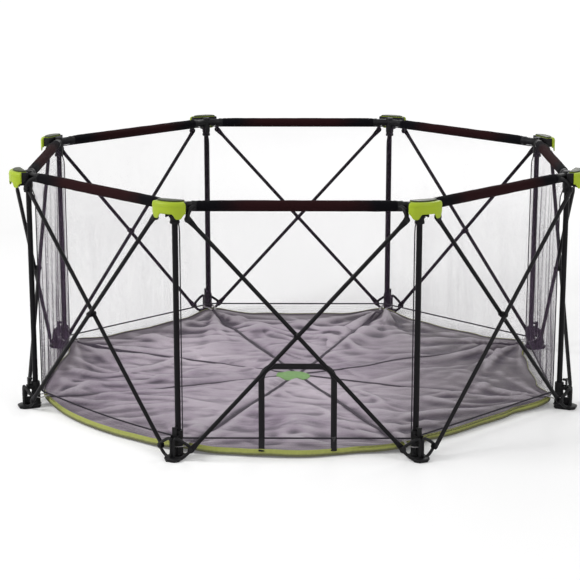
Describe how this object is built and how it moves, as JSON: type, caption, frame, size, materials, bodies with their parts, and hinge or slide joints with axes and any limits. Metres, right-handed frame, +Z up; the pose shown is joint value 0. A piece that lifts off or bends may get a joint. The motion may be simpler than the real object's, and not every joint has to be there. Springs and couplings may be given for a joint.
{
  "type": "travel play yard",
  "caption": "Fold-up octagonal play yard with crossed struts, corner hubs and feet, padded top rails, net walls, a soft floor and a zipped door.",
  "frame": {"origin": "on the ground, under the middle of the yard", "axes": "+Z up; -Y faces out of the panel with the door; +X to the right of someone facing that panel from outside"},
  "size_m": [1.5628, 1.5628, 0.67],
  "materials": {
    "black_plastic": "moulded, fine satin grain",
    "black_tube": "semi-gloss black powder coat",
    "lime_plastic": "moulded lime green, satin",
    "rail_fabric": "woven sleeve, black at the ends and very dark maroon between",
    "net": "fine open net, grey with a lavender cast",
    "floor_fabric": "coated woven cloth, creased, grey-lavender",
    "piping": "lime green piping and centre patch",
    "zip_metal": "dark painted zip slider"
  },
  "bodies": {
    "base": {"foot_0": "black_plastic", "floor_mat": "floor_fabric", "net_wall": "net"},
    "outer_0": {"strut_outer_0": "black_tube"},
    "inner_0": {"strut_inner_0": "black_tube"},
    "hub_0": {"hub_0": "lime_plastic", "post_0": "black_tube", "top_rail_0": "rail_fabric"},
    "outer_1": {"strut_outer_1": "black_tube"},
    "inner_1": {"strut_inner_1": "black_tube"},
    "hub_1": {"hub_1": "lime_plastic", "post_1": "black_tube", "top_rail_1": "rail_fabric"},
    "foot_1": {"foot_1": "black_plastic"},
    "outer_2": {"strut_outer_2": "black_tube"},
    "inner_2": {"strut_inner_2": "black_tube"},
    "hub_2": {"hub_2": "lime_plastic", "post_2": "black_tube", "top_rail_2": "rail_fabric"},
    "foot_2": {"foot_2": "black_plastic"},
    "outer_3": {"strut_outer_3": "black_tube"},
    "inner_3": {"strut_inner_3": "black_tube"},
    "hub_3": {"hub_3": "lime_plastic", "post_3": "black_tube", "top_rail_3": "rail_fabric"},
    "foot_3": {"foot_3": "black_plastic"},
    "outer_4": {"strut_outer_4": "black_tube"},
    "inner_4": {"strut_inner_4": "black_tube"},
    "hub_4": {"hub_4": "lime_plastic", "post_4": "black_tube", "top_rail_4": "rail_fabric"},
    "foot_4": {"foot_4": "black_plastic"},
    "outer_5": {"strut_outer_5": "black_tube"},
    "inner_5": {"strut_inner_5": "black_tube"},
    "hub_5": {"hub_5": "lime_plastic", "post_5": "black_tube", "top_rail_5": "rail_fabric"},
    "foot_5": {"foot_5": "black_plastic"},
    "outer_6": {"strut_outer_6": "black_tube"},
    "inner_6": {"strut_inner_6": "black_tube"},
    "hub_6": {"hub_6": "lime_plastic", "post_6": "black_tube", "top_rail_6": "rail_fabric"},
    "foot_6": {"foot_6": "black_plastic"},
    "outer_7": {"strut_outer_7": "black_tube"},
    "inner_7": {"strut_inner_7": "black_tube"},
    "hub_7": {"hub_7": "lime_plastic", "post_7": "black_tube", "top_rail_7": "rail_fabric"},
    "foot_7": {"foot_7": "black_plastic"},
    "latch_0": {"latch_0": "black_plastic"},
    "latch_1": {"latch_1": "black_plastic"},
    "latch_2": {"latch_2": "black_plastic"},
    "latch_3": {"latch_3": "black_plastic"},
    "latch_4": {"latch_4": "black_plastic"},
    "latch_5": {"latch_5": "black_plastic"},
    "latch_6": {"latch_6": "black_plastic"},
    "latch_7": {"latch_7": "black_plastic"},
    "zip_slider": {"zip_slider": "zip_metal"},
    "zip_pull": {"zip_pull": "zip_metal"}
  },
  "joints": [
    {"name": "fold", "type": "hinge", "parent": "base", "child": "outer_0", "pos_m": [-0.2675, -0.76638, 0.03], "axis": [0, -1, 0], "range_deg": [0, 39], "deforming": ["net_wall", "floor_mat", "top_rail_0", "top_rail_1", "top_rail_2", "top_rail_3", "top_rail_4", "top_rail_5", "top_rail_6", "top_rail_7"]},
    {"name": "fold_inner_0", "type": "hinge", "parent": "outer_0", "child": "inner_0", "pos_m": [0, -0.75989, 0.326], "axis": [0, -1, 0], "range_deg": [-78, 0]},
    {"name": "fold_hub_1", "type": "hinge", "parent": "outer_0", "child": "hub_1", "pos_m": [0.2675, -0.76638, 0.622], "axis": [0, -1, 0], "range_deg": [-39, 0]},
    {"name": "fold_foot_1", "type": "hinge", "parent": "inner_0", "child": "foot_1", "pos_m": [0.2675, -0.75338, 0.03], "axis": [0, -1, 0], "range_deg": [0, 39]},
    {"name": "fold_outer_1", "type": "hinge", "parent": "foot_1", "child": "outer_1", "pos_m": [0.35276, -0.73107, 0.03], "axis": [0.7071, -0.7071, 0], "range_deg": [0, 39]},
    {"name": "fold_inner_1", "type": "hinge", "parent": "outer_1", "child": "inner_1", "pos_m": [0.53732, -0.53732, 0.326], "axis": [0.7071, -0.7071, 0], "range_deg": [-78, 0]},
    {"name": "fold_hub_2", "type": "hinge", "parent": "outer_1", "child": "hub_2", "pos_m": [0.73107, -0.35276, 0.622], "axis": [0.7071, -0.7071, 0], "range_deg": [-39, 0]},
    {"name": "fold_foot_2", "type": "hinge", "parent": "inner_1", "child": "foot_2", "pos_m": [0.72188, -0.34357, 0.03], "axis": [0.7071, -0.7071, 0], "range_deg": [0, 39]},
    {"name": "fold_outer_2", "type": "hinge", "parent": "foot_2", "child": "outer_2", "pos_m": [0.76638, -0.2675, 0.03], "axis": [1, 0, 0], "range_deg": [0, 39]},
    {"name": "fold_inner_2", "type": "hinge", "parent": "outer_2", "child": "inner_2", "pos_m": [0.75989, 0, 0.326], "axis": [1, 0, 0], "range_deg": [-78, 0]},
    {"name": "fold_hub_3", "type": "hinge", "parent": "outer_2", "child": "hub_3", "pos_m": [0.76638, 0.2675, 0.622], "axis": [1, 0, 0], "range_deg": [-39, 0]},
    {"name": "fold_foot_3", "type": "hinge", "parent": "inner_2", "child": "foot_3", "pos_m": [0.75338, 0.2675, 0.03], "axis": [1, 0, 0], "range_deg": [0, 39]},
    {"name": "fold_outer_3", "type": "hinge", "parent": "foot_3", "child": "outer_3", "pos_m": [0.73107, 0.35276, 0.03], "axis": [0.7071, 0.7071, 0], "range_deg": [0, 39]},
    {"name": "fold_inner_3", "type": "hinge", "parent": "outer_3", "child": "inner_3", "pos_m": [0.53732, 0.53732, 0.326], "axis": [0.7071, 0.7071, 0], "range_deg": [-78, 0]},
    {"name": "fold_hub_4", "type": "hinge", "parent": "outer_3", "child": "hub_4", "pos_m": [0.35276, 0.73107, 0.622], "axis": [0.7071, 0.7071, 0], "range_deg": [-39, 0]},
    {"name": "fold_foot_4", "type": "hinge", "parent": "inner_3", "child": "foot_4", "pos_m": [0.34357, 0.72188, 0.03], "axis": [0.7071, 0.7071, 0], "range_deg": [0, 39]},
    {"name": "fold_hub_0", "type": "hinge", "parent": "inner_0", "child": "hub_0", "pos_m": [-0.2675, -0.75338, 0.622], "axis": [0, -1, 0], "range_deg": [0, 39]},
    {"name": "fold_inner_7", "type": "hinge", "parent": "base", "child": "inner_7", "pos_m": [-0.34357, -0.72188, 0.03], "axis": [0.7071, 0.7071, 0], "range_deg": [0, 39]},
    {"name": "fold_outer_7", "type": "hinge", "parent": "inner_7", "child": "outer_7", "pos_m": [-0.53732, -0.53732, 0.326], "axis": [0.7071, 0.7071, 0], "range_deg": [-78, 0]},
    {"name": "fold_hub_7", "type": "hinge", "parent": "inner_7", "child": "hub_7", "pos_m": [-0.72188, -0.34357, 0.622], "axis": [0.7071, 0.7071, 0], "range_deg": [-39, 0]},
    {"name": "fold_foot_7", "type": "hinge", "parent": "outer_7", "child": "foot_7", "pos_m": [-0.73107, -0.35276, 0.03], "axis": [0.7071, 0.7071, 0], "range_deg": [0, 39]},
    {"name": "fold_inner_6", "type": "hinge", "parent": "foot_7", "child": "inner_6", "pos_m": [-0.75338, -0.2675, 0.03], "axis": [1, 0, 0], "range_deg": [0, 39]},
    {"name": "fold_outer_6", "type": "hinge", "parent": "inner_6", "child": "outer_6", "pos_m": [-0.75989, 0, 0.326], "axis": [1, 0, 0], "range_deg": [-78, 0]},
    {"name": "fold_hub_6", "type": "hinge", "parent": "inner_6", "child": "hub_6", "pos_m": [-0.75338, 0.2675, 0.622], "axis": [1, 0, 0], "range_deg": [-39, 0]},
    {"name": "fold_foot_6", "type": "hinge", "parent": "outer_6", "child": "foot_6", "pos_m": [-0.76638, 0.2675, 0.03], "axis": [1, 0, 0], "range_deg": [0, 39]},
    {"name": "fold_inner_5", "type": "hinge", "parent": "foot_6", "child": "inner_5", "pos_m": [-0.72188, 0.34357, 0.03], "axis": [0.7071, -0.7071, 0], "range_deg": [0, 39]},
    {"name": "fold_outer_5", "type": "hinge", "parent": "inner_5", "child": "outer_5", "pos_m": [-0.53732, 0.53732, 0.326], "axis": [0.7071, -0.7071, 0], "range_deg": [-78, 0]},
    {"name": "fold_hub_5", "type": "hinge", "parent": "inner_5", "child": "hub_5", "pos_m": [-0.34357, 0.72188, 0.622], "axis": [0.7071, -0.7071, 0], "range_deg": [-39, 0]},
    {"name": "fold_foot_5", "type": "hinge", "parent": "outer_5", "child": "foot_5", "pos_m": [-0.35276, 0.73107, 0.03], "axis": [0.7071, -0.7071, 0], "range_deg": [0, 39]},
    {"name": "fold_outer_4", "type": "hinge", "parent": "foot_4", "child": "outer_4", "pos_m": [0.2675, 0.76638, 0.03], "axis": [0, 1, 0], "range_deg": [0, 39]},
    {"name": "fold_inner_4", "type": "hinge", "parent": "foot_5", "child": "inner_4", "pos_m": [-0.2675, 0.75338, 0.03], "axis": [0, -1, 0], "range_deg": [0, 39]},
    {"name": "latch_release_0", "type": "hinge", "parent": "base", "child": "latch_0", "pos_m": [-0.30915, -0.74636, 0.058], "axis": [0.9239, -0.3827, 0], "range_deg": [0, 10], "stiffness_Nm_per_rad": 0.2, "springref_deg": -17.19},
    {"name": "latch_release_1", "type": "hinge", "parent": "foot_1", "child": "latch_1", "pos_m": [0.30915, -0.74636, 0.058], "axis": [0.9239, 0.3827, 0], "range_deg": [0, 10], "stiffness_Nm_per_rad": 0.2, "springref_deg": -17.19},
    {"name": "latch_release_2", "type": "hinge", "parent": "foot_2", "child": "latch_2", "pos_m": [0.74636, -0.30915, 0.058], "axis": [0.3827, 0.9239, 0], "range_deg": [0, 10], "stiffness_Nm_per_rad": 0.2, "springref_deg": -17.19},
    {"name": "latch_release_3", "type": "hinge", "parent": "foot_3", "child": "latch_3", "pos_m": [0.74636, 0.30915, 0.058], "axis": [-0.3827, 0.9239, 0], "range_deg": [0, 10], "stiffness_Nm_per_rad": 0.2, "springref_deg": -17.19},
    {"name": "latch_release_4", "type": "hinge", "parent": "foot_4", "child": "latch_4", "pos_m": [0.30915, 0.74636, 0.058], "axis": [-0.9239, 0.3827, 0], "range_deg": [0, 10], "stiffness_Nm_per_rad": 0.2, "springref_deg": -17.19},
    {"name": "latch_release_5", "type": "hinge", "parent": "foot_5", "child": "latch_5", "pos_m": [-0.30915, 0.74636, 0.058], "axis": [-0.9239, -0.3827, 0], "range_deg": [0, 10], "stiffness_Nm_per_rad": 0.2, "springref_deg": -17.19},
    {"name": "latch_release_6", "type": "hinge", "parent": "foot_6", "child": "latch_6", "pos_m": [-0.74636, 0.30915, 0.058], "axis": [-0.3827, -0.9239, 0], "range_deg": [0, 10], "stiffness_Nm_per_rad": 0.2, "springref_deg": -17.19},
    {"name": "latch_release_7", "type": "hinge", "parent": "foot_7", "child": "latch_7", "pos_m": [-0.74636, -0.30915, 0.058], "axis": [0.3827, -0.9239, 0], "range_deg": [0, 10], "stiffness_Nm_per_rad": 0.2, "springref_deg": -17.19},
    {"name": "zip_slide", "type": "slide", "parent": "hub_0", "child": "zip_slider", "axis": [0, 0, 1], "range_m": [0, 0.15]},
    {"name": "zip_pull_swing", "type": "hinge", "parent": "zip_slider", "child": "zip_pull", "pos_m": [0.094, -0.71188, 0.042], "axis": [-1, 0, 0], "range_deg": [0, 170]}
  ],
  "couplings": [
    {"joint": "fold_inner_0", "follows": "fold", "ratio": -2},
    {"joint": "fold_hub_1", "follows": "fold", "ratio": -1},
    {"joint": "fold_foot_1", "follows": "fold", "ratio": 1},
    {"joint": "fold_outer_1", "follows": "fold", "ratio": 1},
    {"joint": "fold_inner_1", "follows": "fold", "ratio": -2},
    {"joint": "fold_hub_2", "follows": "fold", "ratio": -1},
    {"joint": "fold_foot_2", "follows": "fold", "ratio": 1},
    {"joint": "fold_outer_2", "follows": "fold", "ratio": 1},
    {"joint": "fold_inner_2", "follows": "fold", "ratio": -2},
    {"joint": "fold_hub_3", "follows": "fold", "ratio": -1},
    {"joint": "fold_foot_3", "follows": "fold", "ratio": 1},
    {"joint": "fold_outer_3", "follows": "fold", "ratio": 1},
    {"joint": "fold_inner_3", "follows": "fold", "ratio": -2},
    {"joint": "fold_hub_4", "follows": "fold", "ratio": -1},
    {"joint": "fold_foot_4", "follows": "fold", "ratio": 1},
    {"joint": "fold_hub_0", "follows": "fold", "ratio": 1},
    {"joint": "fold_inner_7", "follows": "fold", "ratio": 1},
    {"joint": "fold_outer_7", "follows": "fold", "ratio": -2},
    {"joint": "fold_hub_7", "follows": "fold", "ratio": -1},
    {"joint": "fold_foot_7", "follows": "fold", "ratio": 1},
    {"joint": "fold_inner_6", "follows": "fold", "ratio": 1},
    {"joint": "fold_outer_6", "follows": "fold", "ratio": -2},
    {"joint": "fold_hub_6", "follows": "fold", "ratio": -1},
    {"joint": "fold_foot_6", "follows": "fold", "ratio": 1},
    {"joint": "fold_inner_5", "follows": "fold", "ratio": 1},
    {"joint": "fold_outer_5", "follows": "fold", "ratio": -2},
    {"joint": "fold_hub_5", "follows": "fold", "ratio": -1},
    {"joint": "fold_foot_5", "follows": "fold", "ratio": 1},
    {"joint": "fold_outer_4", "follows": "fold", "ratio": 1},
    {"joint": "fold_inner_4", "follows": "fold", "ratio": 1}
  ]
}
